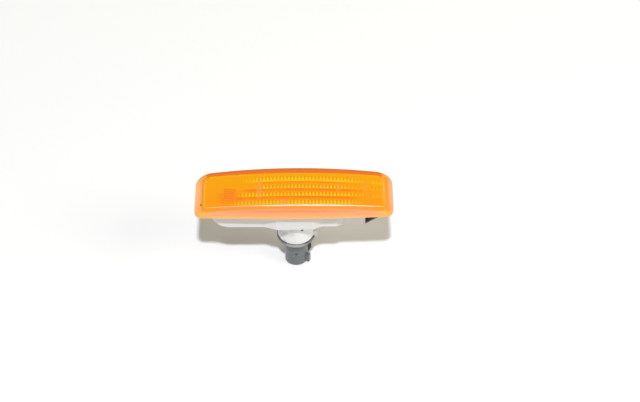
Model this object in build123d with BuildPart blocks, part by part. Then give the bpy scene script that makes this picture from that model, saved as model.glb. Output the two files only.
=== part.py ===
from build123d import *
import os
from math import asin, cos, degrees, radians, sin, sqrt, tan

os.makedirs("parts", exist_ok=True)

# A side repeater lamp for a car's front wing, in millimetres. X runs along the lens, Y across it and Z out of
# the lens. The origin lies on the wing panel's outer plane, at mid length, level with the bulb's axis.

# Lens outside
lens_length = 106.0
lens_above = 18.8  # from the origin to the upper edge, at mid length
lens_below = 17.75  # from the origin to the lower edge, at mid length
upper_arch = 4.8  # fall of the upper edge from mid length to the ends
lower_arch = 1.3
upper_corner = 10.0
lower_corner = 4.0
least_corner = 2.0  # round of the corners that lie further in than the outer corners' centres
rim_height = 2.4
crest_height = 5.1
bevel_inset = 6.4  # how far the bevel leans in between the rim and the crest's height
crown_length_radius = 1400.0
crown_width_radius = 250.0
face_step = 0.8  # height of the raised face above the ledge around it
face_ledge = 1.65
face_edge_round = 0.75
bevel_edge_round = 1.0
rim_edge_round = 0.15

# Lens inside
lens_wall = 2.0
skirt_width = 2.6
ledge_width = 0.8
prism_rows = 4
prism_row_pitch = 5.68
prism_row_margin = 0.45  # from the inner face's lower edge to the first row
prism_pitch = 1.9
prism_land = 0.15
prism_length = 3.2
prism_height = 0.65
prism_flank_angle = 82.5  # of a prism's narrowing sides, seen from above
prism_draft = 25.0
prism_root = 0.5  # how deep a prism is rooted in the wall
prism_start = -31.0
prism_end = 46.0

# Housing
weld_gap = 0.1
flange_thickness = 1.2
tray_wall = 1.8
tray_depth = 12.4
tray_half_width = 11.7
tongue_end_inset = 8.5  # from the lens's left end in to the tray's end
clip_end_inset = 16.5  # from the lens's right end in to the wall that carries the clip
neck_length = 10.0
neck_shoulder = 4.0  # length over which the tray narrows to the neck
neck_half_width = 9.4
chamber_half_width = 14.0
chamber_half_length = 9.7
tongue_flare = 6.4  # length over which a side wall leads out to the chamber, towards the tongue
clip_flare = 5.0
swing_round = 10.0  # round of the tongue end, which lets the lamp swing into its hole
tray_edge_round = 0.6
tongue_reach = 3.8
tongue_width = 10.0
tongue_thickness = 1.8
panel_slot = 1.6  # room for the wing panel between the lens rim and the tongue
drain_x = 4.2
drain_width = 1.4
drain_height = 0.7

# Collar and bayonet
boss_x = 0.6
collar_radius = 10.0
collar_bore = 7.8
collar_depth = 28.0
collar_edge_round = 0.8
lip_radius = 6.9
lip_thickness = 1.8
bayonet_count = 3
bayonet_angle = 20.0  # middle of the first lug when locked
bayonet_twist = 45.0
lug_span = 34.0
notch_play = 3.0  # at each side of a lug in its notch, and before a stop
stop_height = 1.5
index_lug_reach = 1.5
index_lug_width = 2.6
index_lug_height = 3.0
index_lug_y = -1.7

# Bulb holder
seal_thickness = 0.45
seal_inset = 0.4  # from the collar's outside in to the seal's
holder_flange_overhang = 0.4
holder_flange_thickness = 1.2
nose_clearance = 0.3
nose_length = 8.2
lug_clearance = 0.15
lug_thickness = 1.7
shroud_radius = 6.3
shroud_wall = 1.5
shroud_length = 18.65
socket_depth = 12.0
shroud_edge_round = 0.6
wing_angle = 15.0
wing_reach = 1.9
wing_thickness = 2.2
wing_start = 5.0
wing_length = 10.0
wing_slope = 3.2
nib_angle = -25.0
nib_reach = 1.8
nib_length = 4.9
nib_from_end = 1.1
gate_from_end = 9.0
gate_radius = 0.45
gate_depth = 0.3

# Bulb and contacts
pocket_depth = 7.6
pocket_length = 10.2
base_length = 9.6
base_thickness = 2.5
base_height = 7.6
envelope_radius = 4.9
glass_wall = 0.6
shoulder_height = 2.6
neck_radius = 3.0
bulb_tip = -1.2  # height of the envelope's tip
lead_radius = 0.2
lead_spacing = 4.4
lead_fold = 4.0  # length of lead folded up along the base
lead_bend = 0.5
lead_play = 0.03
filament_height = 9.7  # from the base's top up to the ends of the filament
contact_thickness = 0.5
contact_width = 2.8
contact_play = 0.1
contact_below_nose = 0.6
blade_recess = 5.0  # from the shroud's end in to the blades' tips
blade_chamfer = 0.2

# Retaining clip
clip_thickness = 0.5
clip_width = 17.0
clip_play = 0.1
clip_bend = 1.0
leaf_start = 2.2  # from the end wall out to the leaf's fold
leaf_knee = 8.6
leaf_tip = 10.2
leaf_knee_z = -8.6
leaf_tip_gap = 0.3  # from the panel's inner face to the leaf's tip
leg_top = 2.2
fold_depth = 13.2
rail_wall = 1.0
rail_lip = 1.2
rail_top = 2.4
rail_end = 12.0
catch_width = 3.0
catch_height = 1.6
catch_reach = 0.45
catch_z = -6.0
catch_play = 0.15

# Places that follow from the sizes above
tray_left = lens_length / 2 - tongue_end_inset
end_wall_x = lens_length / 2 - clip_end_inset
neck_left = end_wall_x - neck_length
tray_right = neck_left - neck_shoulder
collar_end = -collar_depth
lip_top = collar_end + lip_thickness
seal_back = collar_end - seal_thickness
flange_back = seal_back - holder_flange_thickness
shroud_end = flange_back - shroud_length
socket_floor = shroud_end + socket_depth
nose_radius = lip_radius - nose_clearance
nose_top = seal_back + nose_length
pocket_floor = nose_top - pocket_depth
base_bottom = pocket_floor + 2 * lead_radius
base_top = base_bottom + base_height
lead_y = base_thickness / 2 + lead_radius
contact_y = base_thickness / 2 + 2 * lead_radius
pocket_half_width = contact_y + contact_thickness + contact_play
filament_z = base_top + filament_height
boss_axis = Plane((boss_x, 0, 0))


def radial_plane(angle):
    """Upright plane through the boss axis, turned to an angle from the lens's length."""
    way = Vector(cos(radians(angle)), sin(radians(angle)), 0)
    return Plane((boss_x, 0, 0), x_dir=way, z_dir=way.cross(Vector(0, 0, 1)))


def arch_radius(arch):
    """Radius of an edge that falls by the arch over half the lens."""
    return ((lens_length / 2) ** 2 + arch**2) / (2 * arch)


def edge_fall(arch, inset, x):
    """How far an inset edge has fallen at a distance from mid length."""
    radius = arch_radius(arch) - inset
    return radius - sqrt(radius**2 - x**2)


def lens_outline(height, inset):
    """Face of the lens outline at a height, moved in by an inset, with rounded corners."""
    end = lens_length / 2 - inset
    top = lens_above - inset
    bottom = inset - lens_below
    upper_end = top - edge_fall(upper_arch, inset, end)
    lower_end = bottom + edge_fall(lower_arch, inset, end)
    with BuildSketch(Plane.XY.offset(height)) as outline:
        with BuildLine():
            ThreePointArc((-end, upper_end), (0, top), (end, upper_end))
            ThreePointArc((-end, lower_end), (0, bottom), (end, lower_end))
            Line((-end, lower_end), (-end, upper_end))
            Line((end, lower_end), (end, upper_end))
        make_face()
        fillet(outline.vertices().group_by(Axis.Y)[-1], radius=max(upper_corner - inset, least_corner))
        fillet(outline.vertices().group_by(Axis.Y)[0], radius=max(lower_corner - inset, least_corner))
    return outline.sketch


def crown_ring(top):
    """Sector of a large ring whose outside is the lens face's double curve, highest at the given height."""
    reach = lens_above + lens_below
    width_turn = asin(reach / crown_width_radius)
    length_turn = degrees(asin(lens_length / crown_length_radius))
    brow = crown_length_radius - crown_width_radius * (1 - cos(width_turn))
    foot = crown_length_radius - reach
    middle = Plane((0, 0, top - crown_length_radius), x_dir=(0, 1, 0), z_dir=(1, 0, 0))
    with BuildPart() as ring:
        with BuildSketch(middle.rotated((0, -length_turn, 0))):
            with BuildLine():
                crown = Spline(
                    (-reach, brow),
                    (0, crown_length_radius),
                    (reach, brow),
                    tangents=[(1, tan(width_turn)), (1, -tan(width_turn))],
                )
                Polyline(crown @ 0, (-reach, foot), (reach, foot), crown @ 1)
            make_face()
        revolve(axis=Axis(middle.origin, (0, 1, 0)), revolution_arc=2 * length_turn)
    return ring.part


def crown_fall(x, y):
    """How far the crown has fallen at a place on the lens."""
    length_fall = crown_length_radius - sqrt(crown_length_radius**2 - x**2)
    width_fall = crown_width_radius - sqrt(crown_width_radius**2 - y**2)
    return length_fall + width_fall


def face_inset(x, y):
    """How far in from the lens's edge its raised face begins, beside a place on the face."""
    rise = crest_height - face_step - crown_fall(x, y) - rim_height
    return rise * bevel_inset / (crest_height - rim_height) + face_ledge


def raised_face():
    """Upper part of the lens, inside the ledge that runs around the top of the bevel."""
    end = lens_length / 2 - face_inset(lens_length / 2 - bevel_inset, 0)
    top = lens_above - bevel_inset
    bottom = bevel_inset - lens_below
    corner_inset = face_inset(end, bottom)
    upper_end = lens_above - edge_fall(upper_arch, corner_inset, end) - face_inset(end, top)
    lower_end = edge_fall(lower_arch, corner_inset, end) + corner_inset - lens_below
    with BuildPart() as face:
        with BuildSketch(Plane.XY.offset(rim_height)) as outline:
            with BuildLine():
                ThreePointArc((-end, upper_end), (0, lens_above - face_inset(0, top)), (end, upper_end))
                ThreePointArc((-end, lower_end), (0, face_inset(0, bottom) - lens_below), (end, lower_end))
                Line((-end, lower_end), (-end, upper_end))
                Line((end, lower_end), (end, upper_end))
            make_face()
            corners = outline.vertices().group_by(Axis.Y)
            fillet(corners[-1], radius=max(upper_corner - corner_inset, least_corner))
            corners = outline.vertices().group_by(Axis.Y)
            fillet(corners[0], radius=max(lower_corner - corner_inset, least_corner))
        extrude(amount=crest_height)
        add(crown_ring(crest_height), mode=Mode.INTERSECT)
        fillet(face.faces().sort_by(Axis.Z)[-1].edges(), radius=face_edge_round)
    return face.part


def lens_cavity():
    """Hollow of the lens above the housing's flange."""
    top = crest_height - lens_wall
    with BuildPart() as cavity:
        loft(
            [
                lens_outline(flange_thickness, skirt_width + ledge_width),
                lens_outline(top, bevel_inset),
            ],
            ruled=True,
        )
        add(crown_ring(top), mode=Mode.INTERSECT)
    return cavity.part


def prism_spots():
    """Places of the prisms on the inner face, in rows that follow the lens's upper and lower edges."""
    inner = bevel_inset
    full = lens_above + lens_below - 2 * inner
    count = int((prism_end - prism_start) / prism_pitch) + 1
    spots = []
    for row in range(prism_rows):
        share = (prism_row_margin + row * prism_row_pitch) / full
        for step in range(count):
            x = prism_start + step * prism_pitch
            lower = inner - lens_below + edge_fall(lower_arch, inner, x)
            upper = lens_above - inner - edge_fall(upper_arch, inner, x)
            y = lower + share * (upper - lower)
            spots.append((x, y, crest_height - lens_wall - crown_fall(x, y + prism_length / 2)))
    return spots


def tray_form(inset, top):
    """Tray with its bulb chamber and clip neck, moved in by an inset, from a top level down to its floor."""
    with BuildPart() as form:
        with BuildSketch(Plane.XY.offset(top)) as plan:
            with BuildLine():
                Polyline(
                    (-tray_left, 0),
                    (-tray_left, tray_half_width),
                    (-chamber_half_length - tongue_flare, tray_half_width),
                    (-chamber_half_length, chamber_half_width),
                    (chamber_half_length, chamber_half_width),
                    (chamber_half_length + clip_flare, tray_half_width),
                    (tray_right, tray_half_width),
                    (neck_left, neck_half_width),
                    (end_wall_x, neck_half_width),
                    (end_wall_x, 0),
                )
                mirror(about=Plane.XZ)
            make_face()
            offset(amount=-inset, kind=Kind.INTERSECTION)
        extrude(amount=-(top + tray_depth - inset))
        floor = form.faces().sort_by(Axis.Z)[0]
        fillet(floor.edges().sort_by(Axis.X)[0], radius=swing_round - inset)
        if inset < tray_edge_round:
            floor = form.faces().sort_by(Axis.Z)[0]
            fillet(floor.edges().sort_by(Axis.X)[1:], radius=tray_edge_round - inset)
    return form.part


def ring_sector(inner, outer, middle, span):
    """Ring sector around the middle of the sketch that is being drawn."""
    with BuildSketch(mode=Mode.PRIVATE) as sector:
        with BuildLine():
            far = CenterArc((0, 0), outer, middle - span / 2, span)
            near = CenterArc((0, 0), inner, middle - span / 2, span)
            Line(far @ 0, near @ 0)
            Line(far @ 1, near @ 1)
        make_face()
    return sector.sketch


def bayonet_sectors(level, inner, outer, middle, span):
    """Equal ring sectors around the boss axis, one for each bayonet lug."""
    with BuildSketch(boss_axis.offset(level)) as sectors:
        for lug in range(bayonet_count):
            add(ring_sector(inner, outer, middle + lug * 360 / bayonet_count, span))
    return sectors.sketch


# Lens: a hollow bevelled moulding with prisms on its inner face
with BuildPart() as prism:
    with BuildSketch() as prism_foot:
        Trapezoid(prism_pitch - prism_land, prism_length, prism_flank_angle, align=(Align.CENTER, Align.MIN))
    extrude(amount=prism_root)
    extrude(prism_foot.sketch, amount=prism_height, dir=(0, 0, -1), taper=prism_draft)

with BuildPart() as lens:
    loft(
        [
            lens_outline(0, 0),
            lens_outline(rim_height, 0),
            lens_outline(crest_height, bevel_inset),
        ],
        ruled=True,
    )
    add(crown_ring(crest_height - face_step), mode=Mode.INTERSECT)
    bevel_edges = lens.faces().sort_by(Axis.Z)[-1].edges()
    fillet(bevel_edges, radius=bevel_edge_round)
    rim_edges = lens.edges().filter_by_position(Axis.Z, rim_height, rim_height)
    fillet(rim_edges, radius=rim_edge_round)
    add(raised_face())
    extrude(lens_outline(0, skirt_width), amount=flange_thickness, mode=Mode.SUBTRACT)
    add(lens_cavity(), mode=Mode.SUBTRACT)
    with Locations(*prism_spots()):
        add(prism.part)

# Housing: a tray with a bulb chamber, a bayonet collar, a tongue and rails for the clip
with BuildPart() as housing:
    extrude(lens_outline(0, skirt_width + weld_gap), amount=flange_thickness)
    add(tray_form(0, 0))
    with BuildSketch(boss_axis.offset(collar_end)):
        Circle(collar_radius)
    extrude(amount=collar_depth - tray_depth + tray_wall)
    collar_rim = housing.faces().sort_by(Axis.Z)[0].edges()
    fillet(collar_rim, radius=collar_edge_round)
    with BuildSketch(boss_axis.offset(collar_end)):
        with Locations((collar_radius, index_lug_y)):
            Rectangle(2 * index_lug_reach, index_lug_width)
    extrude(amount=index_lug_height)
    add(tray_form(tray_wall, flange_thickness), mode=Mode.SUBTRACT)
    with BuildSketch(boss_axis.offset(lip_top)):
        Circle(collar_bore)
    extrude(amount=collar_depth - tray_depth - lip_thickness + tray_wall, mode=Mode.SUBTRACT)
    with BuildSketch(boss_axis.offset(collar_end)):
        Circle(lip_radius)
    extrude(amount=lip_thickness, mode=Mode.SUBTRACT)
    extrude(
        bayonet_sectors(
            collar_end,
            nose_radius,
            collar_bore,
            bayonet_angle - bayonet_twist,
            lug_span + 2 * notch_play,
        ),
        amount=lip_thickness,
        mode=Mode.SUBTRACT,
    )
    stop_start = bayonet_angle + lug_span / 2 + notch_play
    stop_end = bayonet_angle + 360 / bayonet_count - bayonet_twist - lug_span / 2 - notch_play
    extrude(
        bayonet_sectors(lip_top, lip_radius, collar_bore, (stop_start + stop_end) / 2, stop_end - stop_start),
        amount=stop_height,
    )
    drain_corner = (drain_x, -chamber_half_width, -tray_depth)
    with BuildSketch(Plane(drain_corner, x_dir=(1, 0, 0), z_dir=(0, 1, 1))):
        Rectangle(drain_width, drain_height)
    extrude(amount=2 * tray_wall, mode=Mode.SUBTRACT)
    with BuildSketch(Plane.XY.offset(-panel_slot)):
        with Locations((-tray_left - tongue_reach, 0)):
            Rectangle(tongue_reach + tray_wall, tongue_width, align=(Align.MIN, Align.CENTER))
    extrude(amount=-tongue_thickness)
    with BuildSketch(Plane.XY.offset(-rail_end)):
        rail_depth = clip_thickness + clip_play + rail_wall
        for side in (-1, 1):
            with Locations((end_wall_x, side * neck_half_width)):
                Rectangle(
                    rail_depth,
                    neck_half_width - clip_width / 2 - clip_play,
                    align=(Align.MIN, Align.MAX if side > 0 else Align.MIN),
                )
            with Locations((end_wall_x + rail_depth, side * neck_half_width)):
                Rectangle(
                    rail_wall,
                    neck_half_width - clip_width / 2 + rail_lip,
                    align=(Align.MAX, Align.MAX if side > 0 else Align.MIN),
                )
    extrude(amount=rail_end - rail_top)
    with BuildSketch(Plane.YZ.offset(end_wall_x)):
        with Locations((0, catch_z)):
            Rectangle(catch_width, catch_height)
    extrude(amount=catch_reach)

# Retaining clip: a steel strip folded into a V, with its leg in the housing's rails
with BuildPart() as clip:
    with BuildSketch(Plane.XZ):
        with BuildLine():
            FilletPolyline(
                (end_wall_x, -leg_top),
                (end_wall_x, -fold_depth),
                (end_wall_x + leaf_start, -fold_depth),
                (end_wall_x + leaf_knee, leaf_knee_z),
                (end_wall_x + leaf_tip, -panel_slot - leaf_tip_gap),
                radius=clip_bend,
            )
            offset(amount=clip_thickness, side=Side.LEFT)
        make_face()
    extrude(amount=clip_width / 2, both=True)
    with BuildSketch(Plane.YZ.offset(end_wall_x)):
        with Locations((0, catch_z)):
            Rectangle(catch_width + 2 * catch_play, catch_height + 2 * catch_play)
    extrude(amount=clip_thickness, mode=Mode.SUBTRACT)

# Bulb holder: a nose with bayonet lugs, a flange, and a connector shroud behind it
with BuildPart() as holder:
    with BuildSketch(boss_axis.offset(seal_back)):
        Circle(nose_radius)
    extrude(amount=nose_length)
    extrude(
        bayonet_sectors(
            lip_top + lug_clearance,
            nose_radius - shroud_wall,
            collar_bore - nose_clearance,
            bayonet_angle,
            lug_span,
        ),
        amount=lug_thickness,
    )
    with BuildSketch(boss_axis.offset(flange_back)):
        Circle(collar_radius + holder_flange_overhang)
    extrude(amount=holder_flange_thickness)
    with BuildSketch(boss_axis.offset(shroud_end)):
        Circle(shroud_radius)
    extrude(amount=shroud_length)
    shroud_rim = holder.faces().sort_by(Axis.Z)[0].edges()
    fillet(shroud_rim, radius=shroud_edge_round)
    with BuildSketch(boss_axis.offset(shroud_end)):
        Circle(shroud_radius - shroud_wall)
    extrude(amount=socket_depth, mode=Mode.SUBTRACT)
    with BuildSketch(boss_axis.offset(pocket_floor)):
        Rectangle(pocket_length, 2 * pocket_half_width)
    extrude(amount=pocket_depth, mode=Mode.SUBTRACT)
    with BuildSketch(boss_axis.offset(socket_floor)):
        for side in (-1, 1):
            with Locations((side * lead_spacing / 2, side * (contact_y + contact_thickness / 2))):
                Rectangle(contact_width + contact_play, contact_thickness + contact_play)
    extrude(amount=pocket_floor - socket_floor, mode=Mode.SUBTRACT)
    with BuildSketch(radial_plane(wing_angle)):
        with BuildLine():
            wing_tip = flange_back - wing_start - wing_length
            Polyline(
                (shroud_radius - shroud_wall / 2, flange_back - wing_start),
                (shroud_radius + wing_reach, flange_back - wing_start),
                (shroud_radius + wing_reach, wing_tip + wing_slope),
                (shroud_radius, wing_tip),
                (shroud_radius - shroud_wall / 2, wing_tip),
                close=True,
            )
        make_face()
    extrude(amount=wing_thickness / 2, both=True)
    with BuildSketch(radial_plane(nib_angle)):
        with Locations((shroud_radius - shroud_wall / 2, shroud_end + nib_from_end)):
            Rectangle(nib_reach + shroud_wall / 2, nib_length, align=Align.MIN)
    extrude(amount=wing_thickness / 2, both=True)
    with BuildSketch(Plane.XZ.offset(shroud_radius)):
        with Locations((boss_x, shroud_end + gate_from_end)):
            Circle(gate_radius)
    extrude(amount=-gate_depth, mode=Mode.SUBTRACT)

# Holder seal: a rubber ring between the collar's end and the holder's flange
with BuildPart() as seal:
    with BuildSketch(boss_axis.offset(seal_back)):
        Circle(collar_radius - seal_inset)
        Circle(nose_radius, mode=Mode.SUBTRACT)
    extrude(amount=seal_thickness)


def contact_strip(side):
    """Brass strip from the bulb's base to the connector blade, on one side of the bulb."""
    blade_tip = shroud_end + blade_recess
    with BuildPart() as strip:
        with BuildSketch(boss_axis.offset(blade_tip)):
            with Locations((side * lead_spacing / 2, side * (contact_y + contact_thickness / 2))):
                Rectangle(contact_width, contact_thickness)
        extrude(amount=nose_top - contact_below_nose - blade_tip)
        ends = strip.edges().filter_by(Axis.X).group_by(Axis.Z)
        chamfer(ends[0] + ends[-1], length=blade_chamfer)
    return strip.part


def lead_wire(side):
    """Lead wire through the bulb's base, folded up along one flat side of it."""
    run = base_bottom - lead_radius
    with BuildPart() as wire:
        with BuildLine(Plane.YZ.offset(boss_x + side * lead_spacing / 2)):
            FilletPolyline(
                (0, filament_z),
                (0, run),
                (side * lead_y, run),
                (side * lead_y, run + lead_fold),
                radius=lead_bend,
            )
        with BuildSketch(boss_axis.offset(filament_z)):
            with Locations((side * lead_spacing / 2, 0)):
                Circle(lead_radius)
        sweep()
    return wire.part


with BuildPart() as contact_positive:
    add(contact_strip(1))

with BuildPart() as contact_earth:
    add(contact_strip(-1))

with BuildPart() as lead_positive:
    add(lead_wire(1))

with BuildPart() as lead_earth:
    add(lead_wire(-1))

# Bulb filament: an arch of wire that stands on the two leads
with BuildPart() as filament:
    with BuildLine(Plane.XZ):
        CenterArc((boss_x, filament_z), lead_spacing / 2, 0, 180)
    with BuildSketch(boss_axis.offset(filament_z)):
        with Locations((lead_spacing / 2, 0)):
            Circle(lead_radius)
    sweep()


def envelope_form(wall):
    """Round envelope of the bulb, moved in by a wall."""
    shoulder_top = base_top + shoulder_height
    dome_z = bulb_tip - envelope_radius
    radius = envelope_radius - wall
    with BuildPart() as form:
        with BuildSketch(Plane.XZ):
            with BuildLine():
                Polyline(
                    (boss_x, dome_z + radius),
                    (boss_x, base_top + wall),
                    (boss_x + neck_radius - wall, base_top + wall),
                    (boss_x + radius, shoulder_top + wall),
                    (boss_x + radius, dome_z),
                )
                CenterArc((boss_x, dome_z), radius, 0, 90)
            make_face()
        revolve(axis=Axis((boss_x, 0, 0), (0, 0, 1)))
    return form.part


# Bulb glass: a hollow envelope on a flat pinched base, with a passage for each lead
with BuildPart() as glass:
    add(envelope_form(0))
    with BuildSketch(boss_axis.offset(base_bottom)):
        Rectangle(base_length, base_thickness)
    extrude(amount=base_height + glass_wall / 2)
    add(envelope_form(glass_wall), mode=Mode.SUBTRACT)
    with BuildSketch(boss_axis.offset(base_bottom)):
        for side in (-1, 1):
            with Locations((side * lead_spacing / 2, 0)):
                Circle(lead_radius + lead_play)
    extrude(amount=base_height + glass_wall, mode=Mode.SUBTRACT)

pieces = {
    "lens": lens,
    "housing": housing,
    "retaining_clip": clip,
    "bulb_holder": holder,
    "holder_seal": seal,
    "contact_positive": contact_positive,
    "contact_earth": contact_earth,
    "bulb_glass": glass,
    "bulb_lead_positive": lead_positive,
    "bulb_lead_earth": lead_earth,
    "bulb_filament": filament,
}
for name, piece in pieces.items():
    piece.part.label = name
    export_step(piece.part, f"parts/{name}.step")
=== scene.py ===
"""Looks of a side repeater lamp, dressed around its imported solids. Every length is in metres."""

import logging
from dataclasses import dataclass
from enum import Enum
from math import cos, pi, radians, sin
from typing import Any, Union

import bmesh
import bpy
from mathutils import Matrix, Vector


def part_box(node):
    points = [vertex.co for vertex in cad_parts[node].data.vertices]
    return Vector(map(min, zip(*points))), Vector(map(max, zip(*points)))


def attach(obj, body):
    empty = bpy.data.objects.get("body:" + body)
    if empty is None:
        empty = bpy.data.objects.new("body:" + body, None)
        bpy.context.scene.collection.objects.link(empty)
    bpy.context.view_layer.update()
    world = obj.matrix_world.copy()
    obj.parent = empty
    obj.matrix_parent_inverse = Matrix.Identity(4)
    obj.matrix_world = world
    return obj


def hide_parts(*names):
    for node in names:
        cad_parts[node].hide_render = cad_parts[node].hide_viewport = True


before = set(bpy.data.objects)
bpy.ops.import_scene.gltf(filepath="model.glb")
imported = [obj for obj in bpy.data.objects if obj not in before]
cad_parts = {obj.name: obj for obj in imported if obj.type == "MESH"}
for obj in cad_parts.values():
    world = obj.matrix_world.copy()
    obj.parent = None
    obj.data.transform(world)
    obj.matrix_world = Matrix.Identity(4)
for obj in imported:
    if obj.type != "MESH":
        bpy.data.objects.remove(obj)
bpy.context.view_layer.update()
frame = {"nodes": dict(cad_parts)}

MM = 0.001
LOG = logging.getLogger("side_repeater")

Colour = tuple[float, float, float]
Span = tuple[float, float]
Place = tuple[float, float]
Operand = Union["Signal", float]
Settings = dict[str, Any]
Sockets = dict[Union[int, str], Any]

BLACK: Colour = (0.0, 0.0, 0.0)
WHITE: Colour = (1.0, 1.0, 1.0)
KEY_LIGHT: Colour = (0.895, 0.925, 1.0)
WARM_LIGHT: Colour = (1.0, 0.95, 0.78)


class Body(Enum):
    """Bodies of the lamp that move on their own."""

    LAMP = "lamp"
    BULB_UNIT = "bulb_unit"


class Slot(Enum):
    """Material slots of the record that the added pieces stand for."""

    AMBER_LENS = "amber_lens"
    LEAD_WIRE = "lead_wire"


class LampShape(Enum):
    """Outlines of a studio lamp."""

    RECTANGLE = "RECTANGLE"
    ELLIPSE = "ELLIPSE"


class Signal:
    """One output socket of a node tree, with arithmetic that adds Math nodes."""

    def __init__(self, bench: "Bench", socket: bpy.types.NodeSocket) -> None:
        """Keep the socket and the bench that adds nodes to its tree.

        Args:
            bench: Bench of the node tree.
            socket: Output socket to wrap.
        """
        self.bench = bench
        self.socket = socket

    def math(self, operation: str, *values: Operand) -> "Signal":
        """Result of a Math node on this value and some further ones."""
        return self.bench.math(operation, self, *values)

    def __add__(self, other: Operand) -> "Signal":
        """Add a value."""
        return self.math("ADD", other)

    __radd__ = __add__

    def __mul__(self, other: Operand) -> "Signal":
        """Multiply by a value."""
        return self.math("MULTIPLY", other)

    __rmul__ = __mul__

    def __sub__(self, other: Operand) -> "Signal":
        """Take a value away."""
        return self.math("SUBTRACT", other)

    def __rsub__(self, other: float) -> "Signal":
        """Take this value away from a number."""
        return self.bench.math("SUBTRACT", other, self)

    def __truediv__(self, other: Operand) -> "Signal":
        """Divide by a value."""
        return self.math("DIVIDE", other)

    def __rtruediv__(self, other: float) -> "Signal":
        """Divide a number by this value."""
        return self.bench.math("DIVIDE", other, self)

    def ramp(self, low: float, high: float) -> "Signal":
        """Rise smoothly from nothing to one between two values.

        Args:
            low: Value at which the rise starts.
            high: Value at which it ends.

        Returns:
            Share between nothing and one.
        """
        settings = {"interpolation_type": "SMOOTHSTEP"}
        return self.bench.node("ShaderNodeMapRange", settings, {0: self, 1: low, 2: high})


@dataclass(frozen=True)
class Grain:
    """Soft noise on a surface.

    Attributes:
        size: Size of its patches.
        detail: How many finer layers it has.
    """

    size: float
    detail: float = 3.0


class Bench:
    """Node tree of one material or world, and the nodes that its looks are made from."""

    def __init__(self, owner: Union[bpy.types.Material, bpy.types.World]) -> None:
        """Start with an empty node tree.

        Args:
            owner: Material or world that the tree belongs to.
        """
        owner.use_nodes = True
        self.owner = owner
        self.tree = owner.node_tree
        self.tree.nodes.clear()

    @classmethod
    def for_material(cls, name: str) -> "Bench":
        """Start a new material."""
        return cls(bpy.data.materials.new(name))

    def add(
        self, kind: str, settings: Settings | None = None, inputs: Sockets | None = None
    ) -> bpy.types.Node:
        """Add a node, set it up and fill its sockets.

        Args:
            kind: Type of the node.
            settings: Attributes of the node, which are set first.
            inputs: Values or links of its sockets.

        Returns:
            The new node.
        """
        made = self.tree.nodes.new(kind)
        for key, value in (settings or {}).items():
            setattr(made, key, value)
        for key, value in (inputs or {}).items():
            if isinstance(value, Signal):
                self.tree.links.new(value.socket, made.inputs[key])
            elif isinstance(value, tuple) and made.inputs[key].type == "RGBA":
                made.inputs[key].default_value = (*value, 1.0)
            else:
                made.inputs[key].default_value = value
        return made

    def node(
        self,
        kind: str,
        settings: Settings | None = None,
        inputs: Sockets | None = None,
        output: Union[int, str] = 0,
    ) -> Signal:
        """Add a node and take one of its outputs.

        Args:
            kind: Type of the node.
            settings: Attributes of the node, which are set first.
            inputs: Values or links of its sockets.
            output: Output socket to take.

        Returns:
            The chosen output.
        """
        return Signal(self, self.add(kind, settings, inputs).outputs[output])

    def math(self, operation: str, *values: Operand) -> Signal:
        """Result of a Math node on some values."""
        return self.node("ShaderNodeMath", {"operation": operation}, dict(enumerate(values)))

    def place(self) -> Signal:
        """Point of the surface in the lamp's own frame."""
        return self.node("ShaderNodeTexCoord", output="Object")

    def axes(self) -> tuple[Signal, Signal, Signal]:
        """X, Y and Z of the surface's point in the lamp's own frame."""
        split = self.add("ShaderNodeSeparateXYZ", inputs={0: self.place()})
        return tuple(Signal(self, socket) for socket in split.outputs)

    def noise(self, grain: Grain) -> Signal:
        """Noise between nothing and one, about a half."""
        inputs = {"Vector": self.place(), "Scale": 1.0 / grain.size, "Detail": grain.detail}
        return self.node("ShaderNodeTexNoise", inputs=inputs)

    def blend(self, share: Operand, first: Any, second: Any) -> Signal:
        """Mix two colours.

        Args:
            share: How much of the second colour shows.
            first: First colour.
            second: Second colour.

        Returns:
            Mixed colour.
        """
        return self.node("ShaderNodeMix", {"data_type": "RGBA"}, {0: share, 6: first, 7: second}, 2)

    def bump(self, height: Signal, depth: float, strength: float) -> Signal:
        """Normal of a surface with a fine relief.

        Args:
            height: Relief between nothing and one.
            depth: Height of the relief.
            strength: How much of it shows.

        Returns:
            Bumped normal.
        """
        inputs = {"Strength": strength, "Distance": depth, "Height": height}
        return self.node("ShaderNodeBump", inputs=inputs)

    def finish(self, **sockets: Any) -> bpy.types.Material:
        """Close the material with a Principled shader.

        Args:
            sockets: Values or links of the shader's sockets, with underscores for spaces.

        Returns:
            Finished material.
        """
        inputs = {key.replace("_", " "): value for key, value in sockets.items()}
        shader = self.node("ShaderNodeBsdfPrincipled", inputs=inputs)
        self.add("ShaderNodeOutputMaterial", inputs={"Surface": shader})
        return self.owner


@dataclass(frozen=True)
class LensShape:
    """Form of the lens's crowned face and of its arched upper edge."""

    crest: float = 5.1 * MM
    step: float = 0.8 * MM
    length_radius: float = 1.4
    width_radius: float = 0.25
    brow_radius: float = 0.55

    def fall(self, x: Operand, y: Operand) -> Operand:
        """How far the crowned face lies below its crest at a place."""
        return x * x / (2 * self.length_radius) + y * y / (2 * self.width_radius)

    def arched(self, x: Operand, y: Operand) -> Operand:
        """Place across the lens, counted from lines that run with its upper edge."""
        return y + x * x / (2 * self.brow_radius)


@dataclass(frozen=True)
class PadShape:
    """Form of the bare pad on the lens's face.

    Attributes:
        centre: Its middle, along and across the lens.
        size: Its length and width.
        corner: Radius of its corners.
        height: How far it stands out of the face.
        root: How deep it is rooted in the face.
    """

    centre: Place = (-34.4 * MM, -3.4 * MM)
    size: Place = (6.6 * MM, 7.8 * MM)
    corner: float = 0.5 * MM
    height: float = 0.07 * MM
    root: float = 0.1 * MM

    @property
    def left(self) -> float:
        """Where the pad starts along the lens."""
        return self.centre[0] - self.size[0] / 2

    @property
    def top(self) -> float:
        """Where the pad ends across the lens."""
        return self.centre[1] + self.size[1] / 2


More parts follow.
